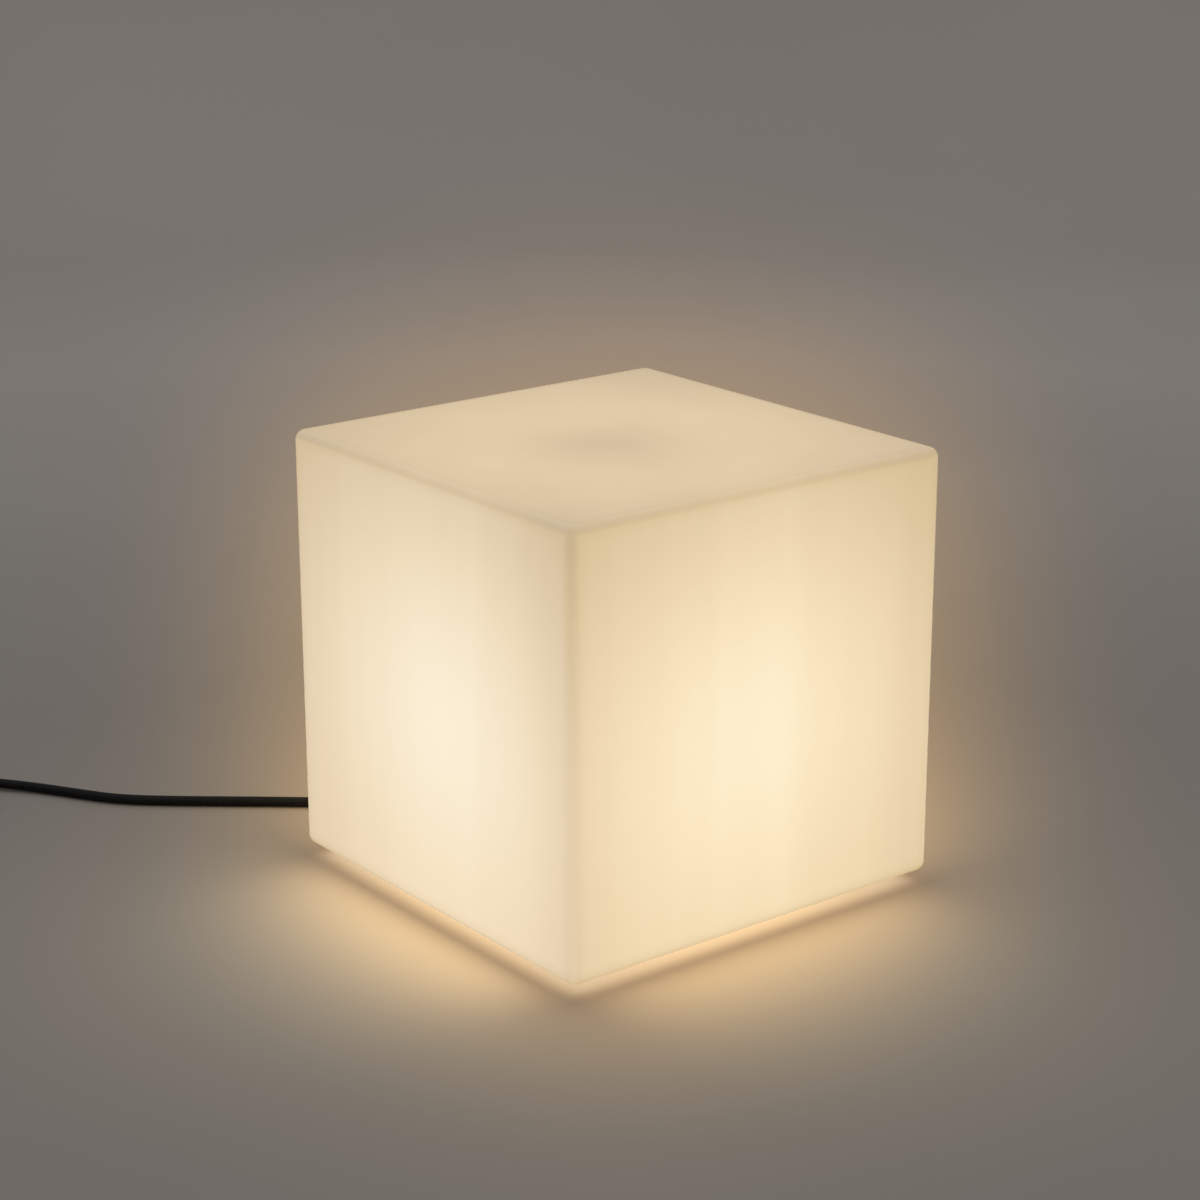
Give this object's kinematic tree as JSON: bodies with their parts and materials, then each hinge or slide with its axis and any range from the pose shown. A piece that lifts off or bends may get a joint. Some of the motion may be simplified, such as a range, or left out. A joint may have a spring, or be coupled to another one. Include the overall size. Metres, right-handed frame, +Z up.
{
  "type": "led cube light",
  "caption": "Moulded translucent cube light on rubber feet, lit by a screw-in bulb on a removable base plate, with a black rubber mains cord and a flat plug.",
  "frame": {"origin": "middle of the cube's footprint, on the floor that the feet stand on", "axes": "+Z up, -Y towards the front, +Y towards the back where the cord leaves, +X to the right seen from the front"},
  "size_m": [0.543, 0.5932, 0.3],
  "materials": {
    "lit_polyethylene": "satin, lit from inside",
    "insert_brass": "turned",
    "foot_rubber": "moulded, matt",
    "screw_steel": "zinc plated",
    "carrier_plastic": "moulded, matt",
    "seal_foam": "closed-cell foam, matt",
    "gland_nylon": "moulded, fine matt",
    "cord_rubber": "extruded rubber sheath, matt",
    "core_brown": "insulation, smooth",
    "core_blue": "insulation, smooth",
    "block_polyamide": "moulded",
    "contact_brass": "stamped",
    "bracket_steel": "zinc plated sheet",
    "holder_plastic": "moulded, satin",
    "holder_ceramic": "fired, unglazed",
    "cap_nickel": "nickel plated, satin",
    "cap_insulation": "black vitreous ring, gloss",
    "bulb_plastic": "moulded, gloss",
    "board_green": "coated laminate",
    "component_black": "moulded",
    "column_aluminium": "extruded",
    "board_white": "white solder mask",
    "chip_phosphor": "phosphor under silicone",
    "tie_nylon": "woven strap, matt",
    "plug_rubber": "moulded rubber, matt",
    "pin_nickel": "nickel plated"
  },
  "bodies": {
    "lamp_carrier": {"carrier_plate": "carrier_plastic", "plate_gasket": "seal_foam", "cover_washers": "screw_steel", "cover_screws": "screw_steel", "gland_body": "gland_nylon", "gland_washer": "seal_foam", "gland_locknut": "gland_nylon", "gland_seal": "seal_foam", "gland_nut": "gland_nylon", "bend_relief": "plug_rubber", "cord_inlet": "cord_rubber", "core_live": "core_brown", "core_neutral": "core_blue", "terminal_block": "block_polyamide", "terminal_clamps": "contact_brass", "terminal_screws": "screw_steel", "block_screw": "screw_steel", "holder_wire_live": "core_brown", "holder_wire_neutral": "core_blue", "lampholder_bracket": "bracket_steel", "bracket_screws": "screw_steel", "nipple": "contact_brass", "nipple_nut": "contact_brass", "holder_cap": "holder_plastic", "holder_insert": "holder_ceramic", "holder_skirt": "holder_plastic", "threaded_shell": "contact_brass", "centre_contact": "contact_brass", "holder_terminals": "contact_brass", "cord": "cord_rubber", "cord_coil": "cord_rubber", "cord_tie": "tie_nylon", "plug_boot": "plug_rubber", "plug_body": "plug_rubber", "plug_pins": "pin_nickel"},
    "diffuser": {"diffuser_shell": "lit_polyethylene", "cover_inserts": "insert_brass", "foot_inserts": "insert_brass", "foot_front_left": "foot_rubber", "foot_front_right": "foot_rubber", "foot_rear_left": "foot_rubber", "foot_rear_right": "foot_rubber", "foot_screws": "screw_steel"},
    "bulb_tip": {"bulb_contact": "contact_brass"},
    "bulb": {"cap_shell": "cap_nickel", "cap_insulator": "cap_insulation", "driver_housing": "bulb_plastic", "driver_board": "board_green", "driver_components": "component_black", "led_column": "column_aluminium", "led_boards": "board_white", "led_chips": "chip_phosphor", "end_plate": "bulb_plastic", "end_screw": "screw_steel"}
  },
  "joints": [
    {"name": "diffuser_lift", "type": "slide", "parent": "lamp_carrier", "child": "diffuser", "axis": [0, 0, 1], "range_m": [0, 0.19]},
    {"name": "bulb_advance", "type": "slide", "parent": "lamp_carrier", "child": "bulb_tip", "axis": [0, 0, 1], "range_m": [0, 0.0168]},
    {"name": "bulb_turn", "type": "hinge", "parent": "bulb_tip", "child": "bulb", "pos_m": [0, 0, 0.08], "axis": [0, 0, 1], "range_deg": [0, 1656]}
  ],
  "couplings": [
    {"joint": "bulb_advance", "follows": "bulb_turn", "m_per_rad": 0.00057757}
  ]
}
